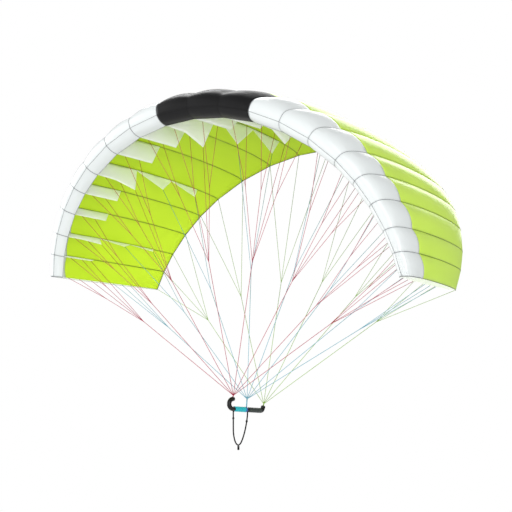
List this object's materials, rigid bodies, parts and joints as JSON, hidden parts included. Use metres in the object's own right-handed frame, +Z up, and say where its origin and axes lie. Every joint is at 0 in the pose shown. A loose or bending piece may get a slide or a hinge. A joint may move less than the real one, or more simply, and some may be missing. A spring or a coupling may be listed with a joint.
{
  "type": "parawing with control bar",
  "caption": "Arched single-skin parawing of sewn cells on ribs, with forked bridle lines, a short hooked control bar, a hand grip and a harness loop.",
  "frame": {"origin": "on the axis of the control bar, where a hand closes round the grip", "axes": "+X to the wing's right-hand tip as seen from in front with the wing above, +Y from leading edge to trailing edge, +Z up"},
  "size_m": [2.54, 1.4205, 2.0479],
  "materials": {
    "lime_cloth": "light coated ripstop, slightly see-through",
    "white_cloth": "light coated ripstop",
    "black_cloth": "light coated ripstop with a soft sheen",
    "rib_cloth": "thin see-through ripstop",
    "red_line": "thin braided line",
    "blue_line": "thin braided line",
    "green_line": "thin braided line",
    "bar_black": "black coated tube",
    "grip_teal": "soft matte grip",
    "cord_black": "braided cord"
  },
  "bodies": {
    "root": {"nose_white_left": "white_cloth", "nose_black_centre": "black_cloth", "nose_white_right": "white_cloth", "panel_01": "lime_cloth", "panel_02": "lime_cloth", "panel_03": "lime_cloth", "panel_04": "lime_cloth", "panel_05": "lime_cloth", "panel_06": "lime_cloth", "panel_07": "lime_cloth", "panel_08": "lime_cloth", "panel_09": "lime_cloth", "panel_10": "lime_cloth", "panel_11": "lime_cloth", "panel_12": "lime_cloth", "panel_13": "lime_cloth", "panel_14": "lime_cloth", "panel_15": "lime_cloth", "panel_16": "lime_cloth", "panel_17": "lime_cloth", "panel_18": "lime_cloth", "panel_19": "lime_cloth", "rib_01": "rib_cloth", "rib_02": "rib_cloth", "rib_03": "rib_cloth", "rib_04": "rib_cloth", "rib_05": "rib_cloth", "rib_06": "rib_cloth", "rib_07": "rib_cloth", "rib_08": "rib_cloth", "rib_09": "rib_cloth", "rib_10": "rib_cloth", "rib_11": "rib_cloth", "rib_12": "rib_cloth", "rib_13": "rib_cloth", "rib_14": "rib_cloth", "rib_15": "rib_cloth", "rib_16": "rib_cloth", "rib_17": "rib_cloth", "rib_18": "rib_cloth", "rib_19": "rib_cloth", "rib_20": "rib_cloth", "lines_front": "red_line", "lines_middle": "blue_line", "lines_rear": "green_line", "bar": "bar_black", "bar_sleeve": "bar_black", "bar_plug_rear": "bar_black", "bar_plug_front": "bar_black", "grip": "grip_teal", "harness_loop": "cord_black", "harness_stopper_front": "cord_black", "harness_stopper_rear": "cord_black", "harness_tail": "cord_black"}
  },
  "joints": []
}
